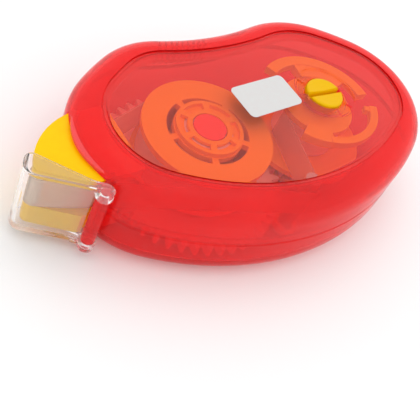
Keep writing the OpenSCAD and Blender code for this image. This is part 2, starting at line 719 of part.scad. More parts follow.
module take_up_core() {
    color([0.96, 0.72, 0.1]) difference() {
        union() {
            drum(take_up_at, flange_r, reel_z, reel_z + flange_t);
            drum(take_up_at, take_up_core_r, reel_z, reel_top_z);
        }
        drum(take_up_at, take_up_post_r + run_gap, reel_z - 1, tape_top - 1);
    }
}

// Open upper flange: a hub with a curved wing and a hooked spring arm that clicks as the reel turns
module take_up_flange() {
    hub_disc_r = 9.6;
    wing_out = flange_r;
    arm_z = (reel_top_z + reel_top) / 2;
    arm_at = take_up_at + [2, 1];
    arm_out = flange_r - 0.6;
    arm_from = -118;
    arm_to = -26;
    hook_turn = 8;
    hook_l = 1.5;
    join = 0.5;
    step = 0.2;
    web_z0 = reel_top_z + step;
    web_z1 = hub_top - step;
    color([0.98, 0.76, 0.1]) union() {
        drum(take_up_at, hub_disc_r, reel_top_z, reel_top);
        ring_sector(take_up_at, wing_in, wing_out, -4, 118, arm_z, hub_top);
        ring_sector(take_up_at, hub_disc_r - join, wing_in + join, 20, 85, web_z0, web_z1);
        ring_sector(arm_at, arm_out - arm_w, arm_out, arm_from, arm_to, arm_z, hub_top);
        ring_sector(arm_at, arm_out - arm_w - hook_l, arm_out - join, arm_to - hook_turn, arm_to - 1,
            arm_z + step, web_z1);
        ring_sector(take_up_at, hub_disc_r - join, wing_in + join, -145, -108, web_z0, web_z1);
    }
}

module take_up_tape() {
    color([0.88, 0.84, 0.76]) difference() {
        drum(take_up_at, take_up_roll_r, tape_z, tape_top);
        drum(take_up_at, take_up_core_r + snap_gap, tape_z - 1, tape_top + 1);
    }
}

// Slotted knob on top of the take-up reel, flush with the panel
module tension_knob() {
    neck_r = knob_r - 1.2;
    edge = 0.5;
    slot_turn = -3;
    color([0.99, 0.8, 0]) difference() {
        translate(take_up_at) rotate_extrude() polygon([[0, reel_top], [neck_r, reel_top], [neck_r, knob_z],
            [knob_r, knob_z], [knob_r, thickness - edge], [knob_r - edge, thickness], [0, thickness]]);
        translate([axle_gap, 0, thickness - slot_d]) rotate(slot_turn)
            translate([-knob_r - 1, -slot_w / 2, 0]) cube([2 * knob_r + 2, slot_w, slot_d + 1]);
    }
}

bottom_shell();
top_shell();
top_panel();
panel_label();
tip_cap();
cassette_frame();
nose_cover();
tape_guides();
tip_roller_axle();
tip_roller();
feed_tape();
spent_liner();
drive_gear();
clutch_ring();
supply_retainer();
supply_core();
supply_flange();
supply_tape();
take_up_gear();
take_up_core();
take_up_flange();
take_up_tape();
tension_knob();
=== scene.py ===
import math

import bmesh
import bpy
from mathutils import Matrix, Vector


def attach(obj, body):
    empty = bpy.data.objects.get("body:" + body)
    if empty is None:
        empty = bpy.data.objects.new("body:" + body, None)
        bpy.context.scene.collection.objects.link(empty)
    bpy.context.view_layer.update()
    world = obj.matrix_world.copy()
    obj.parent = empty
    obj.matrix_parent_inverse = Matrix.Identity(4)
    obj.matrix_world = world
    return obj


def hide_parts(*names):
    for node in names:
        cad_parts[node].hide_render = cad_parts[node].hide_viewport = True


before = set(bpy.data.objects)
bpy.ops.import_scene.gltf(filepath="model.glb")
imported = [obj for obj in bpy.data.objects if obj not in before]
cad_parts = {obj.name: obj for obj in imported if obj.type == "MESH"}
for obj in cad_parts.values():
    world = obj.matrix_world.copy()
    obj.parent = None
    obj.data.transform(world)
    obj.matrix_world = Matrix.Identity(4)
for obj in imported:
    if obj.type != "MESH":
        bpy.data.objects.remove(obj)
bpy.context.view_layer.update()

# Bottom shell
# Half of the egg-shaped housing, moulded in clear red styrene with a fine satin grain.
# Its flat back is the face the roller lies on; a lip round the open edge locates the upper half.
MM = 0.001
WALL = 1.5
THICKNESS = 25.5
PARTING = THICKNESS / 2
PARTING_CHAMFER = 0.4
SHOULDER_OUT = 7.1
SHOULDER_HIGH = 7.0
SHOULDER_STEPS = 14
RIM = 0.8
INNER = SHOULDER_OUT - WALL
LIP_OUT = INNER + WALL / 2
LIP_HIGH = 1.2
# Corner circles of the plan as x, y, radius, and the arcs that join each to the next; the third is hollow
CORNERS = ((-8.8, 2.2, 17.4), (42.6, 0.7, 16.6), (35.7, 3.7, 18.8), (-4.1, 7.0, 15.7))
BLENDS = (63.4, 54.4, -81.0, 68.4)
CORNER_STEPS = (30, 30, 16, 26)
BLEND_STEPS = (48, 18, 200, 24)
# Grip ribs, and the share of the hollow arc that they start and end at
GRIP_RIBS = 9
GRIP_FROM = 0.42
GRIP_TO = 0.92
# Angle in degrees from which an edge stays sharp, and distance in metres at which points are one
SHARP_EDGE = 35
SAME_POINT = 1e-7
ROUND_SEGMENTS = 3


def plan_corner(i):
    x, y, radius = CORNERS[i % len(CORNERS)]
    return Vector((x, y)), radius


def blend_centre(i):
    """Centre of the arc that touches a corner circle and the next one."""
    a, a_radius = plan_corner(i)
    b, b_radius = plan_corner(i + 1)
    blend = BLENDS[i % len(BLENDS)]
    reach_a, reach_b = abs(blend - a_radius), abs(blend - b_radius)
    span = (b - a).length
    along = (b - a) / span
    foot = (reach_a ** 2 - reach_b ** 2 + span ** 2) / (2 * span)
    rise = math.copysign(math.sqrt(reach_a ** 2 - foot ** 2), blend)
    return a + along * foot + Vector((-along.y, along.x)) * rise


def sweep(centre, radii, start, end):
    """Points on an arc, one for each radius, without the last end."""
    count = len(radii)
    turns = [start + (end - start) * k / count for k in range(count)]
    return [centre + Vector((math.cos(t), math.sin(t))) * r for t, r in zip(turns, radii)]


def heading(v):
    return math.atan2(v.y, v.x)


def plan(offset, rib=0.0):
    """Points round the panel edge moved outwards, with grip ribs in the hollow finger rest."""
    points = []
    for i in range(len(CORNERS)):
        centre, radius = plan_corner(i)
        before, after = blend_centre(i - 1), blend_centre(i)
        start = heading((centre - before) * math.copysign(1, BLENDS[i - 1]))
        end = heading((centre - after) * math.copysign(1, BLENDS[i]))
        points += sweep(centre, [radius + offset] * CORNER_STEPS[i], start, start + (end - start) % math.tau)
        start = heading(centre - after)
        end = heading(plan_corner(i + 1)[0] - after)
        steps = BLEND_STEPS[i]
        if BLENDS[i] > 0:
            points += sweep(after, [BLENDS[i] + offset] * steps, start, start + (end - start) % math.tau)
            continue
        shares = [k / steps for k in range(steps)]
        waves = [(s - GRIP_FROM) / (GRIP_TO - GRIP_FROM) * GRIP_RIBS for s in shares]
        ribs = [rib * math.sin(math.pi * w) ** 2 if 0 < w < GRIP_RIBS else 0 for w in waves]
        radii = [-BLENDS[i] - offset - r for r in ribs]
        points += sweep(after, radii, start, start - (start - end) % math.tau)
    return points


def plan_loop(bm, offset, height, rib=0.0):
    verts = [bm.verts.new((p.x * MM, p.y * MM, height * MM)) for p in plan(offset, rib)]
    return [bm.edges.new(pair) for pair in zip(verts, verts[1:] + verts[:1])]


def soften(piece):
    piece.data.polygons.foreach_set("use_smooth", [True] * len(piece.data.polygons))
    piece.data.set_sharp_from_angle(angle=math.radians(SHARP_EDGE))


def finish_mesh(name, bm):
    bmesh.ops.recalc_face_normals(bm, faces=bm.faces[:])
    mesh = bpy.data.meshes.new(name)
    bm.to_mesh(mesh)
    bm.free()
    piece = bpy.data.objects.new(name, mesh)
    bpy.context.scene.collection.objects.link(piece)
    soften(piece)
    return piece


def loft(name, levels, ring):
    """Skin over loops of the plan; a ring joins its last loop to its first, else both ends are filled."""
    bm = bmesh.new()
    for lower, upper in zip(levels, levels[1:] + levels[:1] if ring else levels[1:]):
        bmesh.ops.bridge_loops(bm, edges=plan_loop(bm, *lower) + plan_loop(bm, *upper))
    bmesh.ops.remove_doubles(bm, verts=bm.verts[:], dist=SAME_POINT)
    bmesh.ops.holes_fill(bm, edges=[e for e in bm.edges if e.is_boundary])
    return finish_mesh(name, bm)


def shape(piece, tool, operation):
    """Cut a tool out of a piece or join it on; the new faces keep the tool's material."""
    change = piece.modifiers.new(operation, "BOOLEAN")
    change.object = tool
    change.operation = operation
    change.solver = "EXACT"
    change.material_mode = "TRANSFER"
    graph = bpy.context.evaluated_depsgraph_get()
    mesh = bpy.data.meshes.new_from_object(piece.evaluated_get(graph))
    piece.modifiers.clear()
    piece.data = mesh
    soften(piece)
    bpy.data.objects.remove(tool)


def shoulder(inset, top, last=90):
    """Quarter-round of a shell wall, as levels from its side to its flat, up to the last degree."""
    levels = []
    for k in range(SHOULDER_STEPS + 1):
        turn = math.radians(last * k / SHOULDER_STEPS)
        out = RIM + (SHOULDER_OUT - RIM - inset) * math.cos(turn)
        rise = (SHOULDER_HIGH - inset) * math.sin(turn)
        levels.append((out, THICKNESS - SHOULDER_HIGH + rise) if top else (out, SHOULDER_HIGH - rise))
    return levels


def round_rims(bm, edge):
    rims = [e for e in bm.edges if abs(e.verts[0].co.z - e.verts[1].co.z) < SAME_POINT]
    bmesh.ops.bevel(bm, geom=rims, offset=edge * MM, segments=ROUND_SEGMENTS, profile=0.5, affect="EDGES",
                    material=-1)


def prism(name, points, low, high, edge=0.0):
    """Upright block on a plan, its rims rounded by the given edge."""
    bm = bmesh.new()
    face = bm.faces.new([bm.verts.new((p.x * MM, p.y * MM, low * MM)) for p in points])
    lifted = bmesh.ops.extrude_face_region(bm, geom=[face])
    top = [v for v in lifted["geom"] if isinstance(v, bmesh.types.BMVert)]
    bmesh.ops.translate(bm, verts=top, vec=(0, 0, (high - low) * MM))
    if edge:
        round_rims(bm, edge)
    return finish_mesh(name, bm)


# The mouth follows the plan of the nose, with air all round it, and is cut in both halves
TIP = Vector((-42.5, 0.9))
TIP_ROUND = 1.75
TIP_STEPS = 16
QUARTER = math.pi / 2
NOSE_ARC = 19.7
NOSE_ARC_TURN = math.radians(-23.3)
NOSE_ARC_END = math.radians(100)
NOSE_ARC_STEPS = 40
CAP_ANGLE = 147.3
FRONT_TURN = math.radians(CAP_ANGLE + 180)
FRONT_LENGTH = 11.0
NOSE_LOW = 4.7
NOSE_HIGH = 20.8
AIR = 0.3
MOUTH_LOW = NOSE_LOW - AIR
MOUTH_HIGH = NOSE_HIGH + AIR
ROOT_X = -24.0
ROOT_Y = 13.0
HINGE = Vector((-33.3, -9.9))
THROAT_AHEAD = 4.4
THROAT_IN = 3.9
THROAT = Vector((ROOT_X - THROAT_AHEAD, HINGE.y + THROAT_IN))


def direction(turn):
    return Vector((math.cos(turn), math.sin(turn)))


def mouth_plan():
    arc_centre = TIP + direction(NOSE_ARC_TURN) * (NOSE_ARC - TIP_ROUND)
    arc_end = NOSE_ARC_TURN + math.pi
    points = sweep(arc_centre, [NOSE_ARC + AIR] * NOSE_ARC_STEPS, NOSE_ARC_END, arc_end)
    points += sweep(TIP, [TIP_ROUND + AIR] * TIP_STEPS, arc_end, FRONT_TURN - QUARTER)
    front = TIP + direction(FRONT_TURN - QUARTER) * (TIP_ROUND + AIR)
    points += [front, front + direction(FRONT_TURN) * FRONT_LENGTH, THROAT + Vector((0, -AIR))]
    return points + [Vector((ROOT_X, THROAT.y - AIR)), Vector((ROOT_X, ROOT_Y + AIR))]


# Moulded-in grain, and slow marks of the plastic's flow that shade its colour between two noise levels
GRAIN_DETAIL = 3
GRAIN_STRENGTH = 0.5
FLOW_MARK = 1.6
FLOW_DETAIL = 5
FLOW_FROM = 0.3
FLOW_TO = 0.7


def grain(tree, shader, colour, flow_shade, fine, depth, rough):
    """Moulded-in satin grain: fine bumps with a little spread of roughness and colour, in object space."""
    coords = tree.nodes.new("ShaderNodeTexCoord")
    noise = tree.nodes.new("ShaderNodeTexNoise")
    noise.inputs["Scale"].default_value = 1 / (fine * MM)
    noise.inputs["Detail"].default_value = GRAIN_DETAIL
    bump = tree.nodes.new("ShaderNodeBump")
    bump.inputs["Strength"].default_value = GRAIN_STRENGTH
    bump.inputs["Distance"].default_value = depth * MM
    spread = tree.nodes.new("ShaderNodeMapRange")
    spread.inputs["To Min"].default_value = rough[0]
    spread.inputs["To Max"].default_value = rough[1]
    tree.links.new(coords.outputs["Object"], noise.inputs["Vector"])
    tree.links.new(noise.outputs["Fac"], bump.inputs["Height"])
    tree.links.new(bump.outputs["Normal"], shader.inputs["Normal"])
    tree.links.new(noise.outputs["Fac"], spread.inputs["Value"])
    tree.links.new(spread.outputs["Result"], shader.inputs["Roughness"])
    flow = tree.nodes.new("ShaderNodeTexNoise")
    flow.inputs["Scale"].default_value = 1 / (FLOW_MARK * MM)
    flow.inputs["Detail"].default_value = FLOW_DETAIL
    tint = tree.nodes.new("ShaderNodeValToRGB")
    shaded, plain = tint.color_ramp.elements
    shaded.position = FLOW_FROM
    shaded.color = (colour[0], colour[1] * flow_shade, colour[2] * flow_shade, 1)
    plain.position = FLOW_TO
    plain.color = (*colour, 1)
    tree.links.new(coords.outputs["Object"], flow.inputs["Vector"])
    tree.links.new(flow.outputs["Fac"], tint.inputs["Fac"])
    tree.links.new(tint.outputs["Color"], shader.inputs["Base Color"])


def moulded(name, colour, rough, fine=0.4, depth=0.01, clear=0.0, ior=1.5, coat=0.0, shine=0.5,
            flow_shade=0.96):
    """Moulded plastic: a Principled finish with its own grain; clear is how much light passes through."""
    material = bpy.data.materials.new(name)
    material.use_nodes = True
    tree = material.node_tree
    shader = tree.nodes["Principled BSDF"]
    shader.inputs["Transmission Weight"].default_value = clear
    shader.inputs["IOR"].default_value = ior
    shader.inputs["Coat Weight"].default_value = coat
    shader.inputs["Specular IOR Level"].default_value = shine
    grain(tree, shader, colour, flow_shade, fine, depth, rough)
    return material


def dress(piece, material):
    piece.data.materials.clear()
    piece.data.materials.append(material)


satin_red = moulded("satin_red", (1.0, 0.06, 0.06), (0.12, 0.2), fine=0.35, clear=0.72, ior=1.06, coat=0.35,
                    flow_shade=0.7)
# Paler, less clear red on the faces cut by the mouth and on its lip: a painted highlight along the wall's
# edge
painted_edge_highlight = moulded("painted_edge_highlight", (1.0, 0.11, 0.12), (0.1, 0.16), fine=0.5, depth=0.004, clear=0.5, ior=1.1,
                   coat=0.8)


# The faces cut by the mouth take the paler red of the painted highlight
def open_mouth(half):
    mouth = prism("mouth", mouth_plan(), MOUTH_LOW, MOUTH_HIGH)
    dress(mouth, painted_edge_highlight)
    shape(half, mouth, "DIFFERENCE")


chamfer_low = [(SHOULDER_OUT, PARTING - PARTING_CHAMFER), (SHOULDER_OUT - PARTING_CHAMFER, PARTING)]
lip = [(LIP_OUT, PARTING), (LIP_OUT, PARTING + LIP_HIGH), (INNER, PARTING + LIP_HIGH)]
bottom = loft("bottom_half", shoulder(0, False)[::-1] + chamfer_low + lip + shoulder(WALL, False), False)
dress(bottom, satin_red)
open_mouth(bottom)
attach(bottom, "housing")
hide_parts("bottom_shell")

# Top shell
# The matching upper half in the same red styrene, snapped over the lip of the lower one.
# A rounded shoulder leads to the rim and ledge that hold the panel; nine ribs roughen the finger rest.
SNAP = 0.05
HAIR = 0.03
PANEL_LOW = 23.9
LEDGE_WIDE = 1.8
LEDGE_THICK = 0.9
SEAT_EASE = 0.1
GROOVE_DEEP = 0.5
RIB_HIGH = 0.5
RIB_START = 0.4
RIB_FADE_STEPS = 4

ledge_low = PANEL_LOW - LEDGE_THICK
ledge_turn = math.degrees(math.asin((ledge_low - THICKNESS + SHOULDER_HIGH) / (SHOULDER_HIGH - WALL)))
side = [(SHOULDER_OUT - PARTING_CHAMFER, PARTING + HAIR), (SHOULDER_OUT, PARTING + PARTING_CHAMFER),
        (SHOULDER_OUT, PARTING + RIB_START), (SHOULDER_OUT, PARTING + 2 * RIB_START, RIB_HIGH),
        (SHOULDER_OUT, THICKNESS - SHOULDER_HIGH, RIB_HIGH)]
fade = [(out, high, RIB_HIGH * max(0, 1 - k / RIB_FADE_STEPS))
        for k, (out, high) in enumerate(shoulder(0, True)[1:], 1)]
seat = [(SNAP + SEAT_EASE, THICKNESS), (SNAP, THICKNESS - SEAT_EASE), (SNAP, THICKNESS - GROOVE_DEEP),
        (SNAP, PANEL_LOW), (-LEDGE_WIDE, PANEL_LOW), (-LEDGE_WIDE, ledge_low)]
rebate = [(INNER, PARTING + LIP_HIGH + SNAP), (LIP_OUT + SNAP, PARTING + LIP_HIGH + SNAP),
          (LIP_OUT + SNAP, PARTING + HAIR)]
top = loft("top_half", side + fade + seat + shoulder(WALL, True, last=ledge_turn)[::-1] + rebate, True)
dress(top, satin_red)
open_mouth(top)

# A flat lip over the mouth, widest in the middle and running out into the shoulder at both ends;
# its section is in distances out from its arc and up from the mouth
MOUTH_LIP = ((-1.6, 0.05), (-0.2, 0.05), (0.0, 0.25), (0.0, 0.9), (-0.3, 1.2), (-1.6, 1.2))
MOUTH_LIP_R = 15.3
MOUTH_LIP_OUT = 9.3
MOUTH_LIP_MIDDLE = math.radians(178)
MOUTH_LIP_HALF = math.radians(40)
MOUTH_LIP_STEPS = 40

front_corner, front_radius = plan_corner(0)
lip_at = front_corner + direction(MOUTH_LIP_MIDDLE) * MOUTH_LIP_OUT
lip_from = direction(MOUTH_LIP_MIDDLE - MOUTH_LIP_HALF)
lip_points = [(lip_at + lip_from * (MOUTH_LIP_R + r), MOUTH_HIGH + z) for r, z in MOUTH_LIP]
bm = bmesh.new()
lip_end = bm.faces.new([bm.verts.new((p.x * MM, p.y * MM, z * MM)) for p, z in lip_points])
bmesh.ops.spin(bm, geom=[lip_end, *lip_end.edges, *lip_end.verts], cent=(lip_at.x * MM, lip_at.y * MM, 0),
               axis=(0, 0, 1), angle=2 * MOUTH_LIP_HALF, steps=MOUTH_LIP_STEPS)
mouth_lip = finish_mesh("mouth_lip", bm)
# The lip carries the painted edge highlight too
dress(mouth_lip, painted_edge_highlight)
shape(top, mouth_lip, "UNION")

# Its hinge knuckle: a barrel with a stub pin at each end, on a web rooted in the upper wall
EAR_TOP = 22.6
EAR_BOTTOM = 2.9
EAR_HIGH = 2.3
EAR_SKIN = 0.6
END_PLAY = 0.1
KNUCKLE_R = 1.65
KNUCKLE_EDGE = 0.15
STUB_R = 1.1
STUB_EDGE = 0.1
WEB_THICK = 1.6
WEB_DROP = 1.5
WEB_ROOT = 0.5
WEB_OVERLAP = 0.1
ROD_STEPS = 48


def rod(name, at, radius, low, high, steps=ROD_STEPS, edge=0.0):
    """Round bar on the Z axis through a point, its rims rounded by the given edge."""
    bm = bmesh.new()
    place = Matrix.Translation((at[0] * MM, at[1] * MM, (low + high) / 2 * MM))
    bmesh.ops.create_cone(bm, cap_ends=True, segments=steps, radius1=radius * MM, radius2=radius * MM,
                          depth=(high - low) * MM, matrix=place)
    if edge:
        round_rims(bm, edge)
    return finish_mesh(name, bm)


knuckle_top = EAR_TOP - EAR_HIGH - END_PLAY
knuckle_bottom = EAR_BOTTOM + EAR_HIGH + END_PLAY
inward = (front_corner - HINGE).normalized()
reach = (front_corner - HINGE).length - front_radius - SHOULDER_OUT
# The lower part of the web stops short of the bottom shell, the upper part enters the wall
lower_web = (knuckle_bottom + WEB_DROP, PARTING + AIR + WEB_OVERLAP, reach - AIR, WEB_THICK - HAIR)
upper_web = (PARTING + AIR, knuckle_top - WEB_DROP, reach + WEB_ROOT, WEB_THICK)
for low, high, end, thick in (lower_web, upper_web):
    half_web = Vector((-inward.y, inward.x)) * thick / 2
    far = HINGE + inward * end
    web = prism("web", [HINGE - half_web, far - half_web, far + half_web, HINGE + half_web], low, high)
    dress(web, satin_red)
    shape(top, web, "UNION")
stub_low, stub_high = EAR_BOTTOM + EAR_SKIN + END_PLAY, EAR_TOP - EAR_SKIN - END_PLAY
stub = rod("stub", HINGE, STUB_R, stub_low, stub_high, edge=STUB_EDGE)
barrel = rod("barrel", HINGE, KNUCKLE_R, knuckle_bottom, knuckle_top, edge=KNUCKLE_EDGE)
for pin in (stub, barrel):
    dress(pin, satin_red)
    shape(top, pin, "UNION")

# The upright walls of the panel groove and of its seat in the shell get an opaque darker red: painted shade
# of the gap between panel and shell
UPRIGHT = 0.2
TAKE_UP = Vector((35.0, 0.0))
BEZEL_R = 8.4
BEZEL_CLEAR = BEZEL_R + 1.0

# Opaque darker red, painted shade in the gap round the panel
painted_gap_shade = moulded("painted_gap_shade", (0.45, 0.003, 0.004), (0.1, 0.2), fine=0.5, depth=0.004, coat=0.3)


def paint_gap_shade(piece):
    """Upright faces above the floor of the groove get the darker red of painted shade, apart from those of
    the bezel.
    """
    piece.data.materials.append(painted_gap_shade)
    slot = len(piece.data.materials) - 1
    for face in piece.data.polygons:
        in_groove = abs(face.normal.z) < UPRIGHT and face.center.z > (THICKNESS - GROOVE_DEEP) * MM
        off_bezel = (Vector(face.center[:2]) - TAKE_UP * MM).length > BEZEL_CLEAR * MM
        if in_groove and off_bezel:
            face.material_index = slot


paint_gap_shade(top)

# The crests of the grip ribs get a darker, less clear red too: painted shade that marks the ribs' relief
HOLLOW = 2

# Darker red painted on the rib crests as shade
painted_rib_shade = moulded("painted_rib_shade", (0.72, 0.02, 0.025), (0.12, 0.2), fine=0.35, clear=0.6, ior=1.06, coat=0.35)
top.data.materials.append(painted_rib_shade)
crest = -BLENDS[HOLLOW] - SHOULDER_OUT - RIB_HIGH / 2
for face in top.data.polygons:
    if (Vector(face.center[:2]) / MM - blend_centre(HOLLOW)).length < crest:
        face.material_index = len(top.data.materials) - 1
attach(top, "housing")
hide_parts("top_shell")

# Top panel
# Polished clear-red window dropped on the ledge, with a groove along its edge.
# A stepped bezel with two fingertip notches is moulded round the hole for the knob.
GROOVE_WIDE = 0.9
PANEL_EDGE = 0.12
KNOB_R = 5.0
HOLE_R = KNOB_R + AIR
COLLAR_WALL = 1.2
COLLAR_ROOT = 0.4
BEZEL_STEP = 0.5
BEZEL_EASE = 0.2
BEZEL_LOW = 22.94
TURNED_STEPS = 96
CUT_PAST = 1.0
NOTCHES = (126, -90)
NOTCH_TURN = 44
NOTCH_WIDE = 2.4
NOTCH_STEPS = 16


def turned(name, at, profile, ring):
    """Piece turned on the Z axis through a point, from a profile of radius and height; a ring's is closed."""
    bm = bmesh.new()
    verts = [bm.verts.new(((at.x + r) * MM, at.y * MM, z * MM)) for r, z in profile]
    edges = [bm.edges.new(pair) for pair in zip(verts, verts[1:] + verts[:1] if ring else verts[1:])]
    bmesh.ops.spin(bm, geom=verts + edges, cent=(at.x * MM, at.y * MM, 0), axis=(0, 0, 1), angle=math.tau,
                   steps=TURNED_STEPS, use_merge=True)
    bmesh.ops.remove_doubles(bm, verts=bm.verts[:], dist=SAME_POINT)
    return finish_mesh(name, bm)


groove_floor = THICKNESS - GROOVE_DEEP
edge_levels = [(-PANEL_EDGE, PANEL_LOW + HAIR), (0, PANEL_LOW + PANEL_EDGE), (0, groove_floor - PANEL_EDGE),
               (-PANEL_EDGE, groove_floor), (-GROOVE_WIDE, groove_floor),
               (-GROOVE_WIDE, THICKNESS - PANEL_EDGE), (-GROOVE_WIDE - PANEL_EDGE, THICKNESS)]
panel = loft("window_panel", edge_levels, False)
collar = rod("collar", TAKE_UP, HOLE_R + COLLAR_WALL, BEZEL_LOW, PANEL_LOW + COLLAR_ROOT, steps=TURNED_STEPS)
shape(panel, collar, "UNION")
hole = rod("hole", TAKE_UP, HOLE_R, BEZEL_LOW - CUT_PAST, THICKNESS + CUT_PAST, steps=TURNED_STEPS)
shape(panel, hole, "DIFFERENCE")
bezel_floor = THICKNESS - BEZEL_STEP
bezel = [(HOLE_R - CUT_PAST, bezel_floor), (BEZEL_R - BEZEL_EASE, bezel_floor),
         (BEZEL_R, bezel_floor + BEZEL_EASE), (BEZEL_R, THICKNESS + CUT_PAST),
         (HOLE_R - CUT_PAST, THICKNESS + CUT_PAST)]
shape(panel, turned("bezel", TAKE_UP, bezel, True), "DIFFERENCE")
for first in NOTCHES:
    start, end = math.radians(first), math.radians(first + NOTCH_TURN)
    outer = sweep(TAKE_UP, [HOLE_R + NOTCH_WIDE] * NOTCH_STEPS, start, end)
    inner = sweep(TAKE_UP, [HOLE_R - CUT_PAST] * NOTCH_STEPS, end, start)
    notch = prism("notch", outer + inner, PANEL_LOW + BEZEL_STEP, THICKNESS + CUT_PAST)
    shape(panel, notch, "DIFFERENCE")
polished_red = moulded("polished_red", (1.0, 0.5, 0.46), (0.04, 0.08), fine=6.0, depth=0.003, clear=0.98,
                       ior=1.06, coat=0.5)
dress(panel, polished_red)
panel.data.polygons.foreach_set("material_index", [0] * len(panel.data.polygons))
# The panel's groove walls take the painted shade too
paint_gap_shade(panel)
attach(panel, "housing")
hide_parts("top_panel")

# Label
# Thin blank film with rounded corners, stuck flat on the panel beside the knob.
blank_film = moulded("blank_film", (0.66, 0.66, 0.65), (0.35, 0.45), fine=0.8, depth=0.003)


def dress_nodes(material, *nodes):
    for node in nodes:
        dress(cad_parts[node], material)


dress_nodes(blank_film, "panel_label")

# Cassette, nose and reels
# One yellow moulding carries the posts and the lower cheek of the nose, and the upper cheek is pressed
# on its pegs. The reels and their flanges are moulded in a warmer yellow.
satin_yellow = moulded("satin_yellow", (0.98, 0.6, 0.001), (0.3, 0.42), fine=0.5, shine=0.1)
warm_yellow = moulded("warm_yellow", (0.98, 0.51, 0.001), (0.3, 0.42), fine=0.5, shine=0.1)
dress_nodes(satin_yellow, "cassette_frame", "nose_cover")
dress_nodes(warm_yellow, "supply_core", "supply_flange", "take_up_core", "take_up_flange")

# Tension knob
# Yellow button pressed into the take-up reel, so that a coin in its slot winds up slack tape.
# The face is slightly dished inside a rounded rim, and the slot's edges are eased.
REEL_TOP = 20.7
KNOB_STEP = 1.2
KNOB_NECK = KNOB_R - KNOB_STEP
HEAD_SHARE = 0.25
KNOB_LOW = PANEL_LOW - HEAD_SHARE * (PANEL_LOW - REEL_TOP)
KNOB_ROUND = 0.5
RIM_STEPS = 6
DISH_R = KNOB_R - 1.5 * KNOB_ROUND
DISH_DEEP = 0.22
DISH_STEPS = 8
SLOT_TURN = math.radians(-3)
SLOT_HALF = 0.85
SLOT_DEEP = 1.6
SLOT_EASE = 0.3
SLOT_REACH = 2 * KNOB_R

knob_side = [(0, REEL_TOP), (KNOB_NECK, REEL_TOP), (KNOB_NECK, KNOB_LOW), (KNOB_R, KNOB_LOW)]
rim_turns = [QUARTER * k / RIM_STEPS for k in range(RIM_STEPS + 1)]
knob_rim = [(KNOB_R - KNOB_ROUND + KNOB_ROUND * math.cos(turn),
             THICKNESS - KNOB_ROUND + KNOB_ROUND * math.sin(turn)) for turn in rim_turns]
dish = [(DISH_R * (1 - k / DISH_STEPS), THICKNESS - DISH_DEEP * math.sin(QUARTER * k / DISH_STEPS))
        for k in range(DISH_STEPS + 1)]
knob = turned("slotted_knob", TAKE_UP, knob_side + knob_rim + dish, False)
slot_side = [(SLOT_HALF, CUT_PAST), (SLOT_HALF, 0), (SLOT_HALF - SLOT_EASE, -2 * SLOT_EASE),
             (SLOT_HALF - SLOT_EASE, -SLOT_DEEP)]
slot_section = [(y, THICKNESS + z) for y, z in slot_side + [(-y, z) for y, z in slot_side[::-1]]]
bm = bmesh.new()
slot_end = bm.faces.new([bm.verts.new((-SLOT_REACH * MM, y * MM, z * MM)) for y, z in slot_section])
drawn = bmesh.ops.extrude_face_region(bm, geom=[slot_end])
far_end = [v for v in drawn["geom"] if isinstance(v, bmesh.types.BMVert)]
bmesh.ops.translate(bm, verts=far_end, vec=(2 * SLOT_REACH * MM, 0, 0))
bmesh.ops.rotate(bm, verts=bm.verts[:], cent=(0, 0, 0), matrix=Matrix.Rotation(SLOT_TURN, 3, "Z"))
bmesh.ops.translate(bm, verts=bm.verts[:], vec=(TAKE_UP.x * MM, TAKE_UP.y * MM, 0))
shape(knob, finish_mesh("slot", bm), "DIFFERENCE")
knob_yellow = moulded("knob_yellow", (0.82, 0.48, 0.0), (0.25, 0.35), fine=0.5, depth=0.008, shine=0.1)
dress(knob, knob_yellow)
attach(knob, "take_up_reel")
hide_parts("tension_knob")

# Gear pair
# Both gears are moulded in natural acetal, which stays milky and slightly waxy.
milky_acetal = moulded("milky_acetal", (0.94, 0.92, 0.86), (0.35, 0.5), fine=0.6, depth=0.006)
dress_nodes(milky_acetal, "drive_gear", "take_up_gear")

# Post cap
# A red push-in cap closes the supply post.
cap_red = moulded("cap_red", (1.0, 0.06, 0.06), (0.3, 0.4), fine=0.5, depth=0.008)
dress_nodes(cap_red, "supply_retainer")

# Clutch ring
# Black rubber ring between gear and supply reel.
clutch_rubber = moulded("clutch_rubber", (0.02, 0.02, 0.022), (0.6, 0.75), fine=0.3)
dress_nodes(clutch_rubber, "clutch_ring")

# Steel pins
# The tip axle and the two tape guides are drawn wire, cut to length.
drawn_steel = moulded("drawn_steel", (0.62, 0.62, 0.63), (0.22, 0.34), fine=0.15, depth=0.002)
drawn_steel.node_tree.nodes["Principled BSDF"].inputs["Metallic"].default_value = 1
dress_nodes(drawn_steel, "tape_guides", "tip_roller_axle")

# Tape
# Both wound rolls read white from the side, and the tip roller is moulded white.
# The stretch to the tip and the spent liner on its way back are a single thin layer of clear film.
white_film = moulded("white_film", (0.94, 0.92, 0.89), (0.45, 0.6), depth=0.004)
clear_film = moulded("clear_film", (0.98, 0.89, 0.77), (0.2, 0.3), depth=0.004, clear=0.68, ior=1.04)
dress_nodes(white_film, "supply_tape", "take_up_tape", "tip_roller")
dress_nodes(clear_film, "feed_tape", "spent_liner")

# Tip cap
# Clear styrene flap that covers the tip roller when closed: an open box with rounded corners.
# Two ears with blind holes snap over the stub pins of the hinge.
CAP_TURN = math.radians(CAP_ANGLE)
CAP_LONG = 17.5
CAP_WALL = 1.1
CAP_FACE = 0.1
CAP_DEEP_ROOT = 2.4
CAP_DEEP_END = 6.3
CAP_CORNER = 3.0
CAP_CORNER_STEPS = 14
CAP_BACK = 2.0
CAP_BACK_STEPS = 12
CAP_EDGE = 0.3
CAP_INNER_EDGE = 0.25
EAR_R = 2.0
EAR_LIP = 0.4
EAR_EDGE = 0.2
EAR_ARM = 1.5
EAR_ARM_EDGE = 0.1
EAR_ARM_INSET = 0.02
PIN_PLAY = 0.06
SWING = 0.4
OPEN_SIDE = 12.0


def in_cap(points):
    """From the cap's own frame, along it and into its open side, to the plan."""
    along, inside = direction(CAP_TURN), direction(CAP_TURN - QUARTER)
    return [HINGE + along * p.x + inside * p.y for p in points]


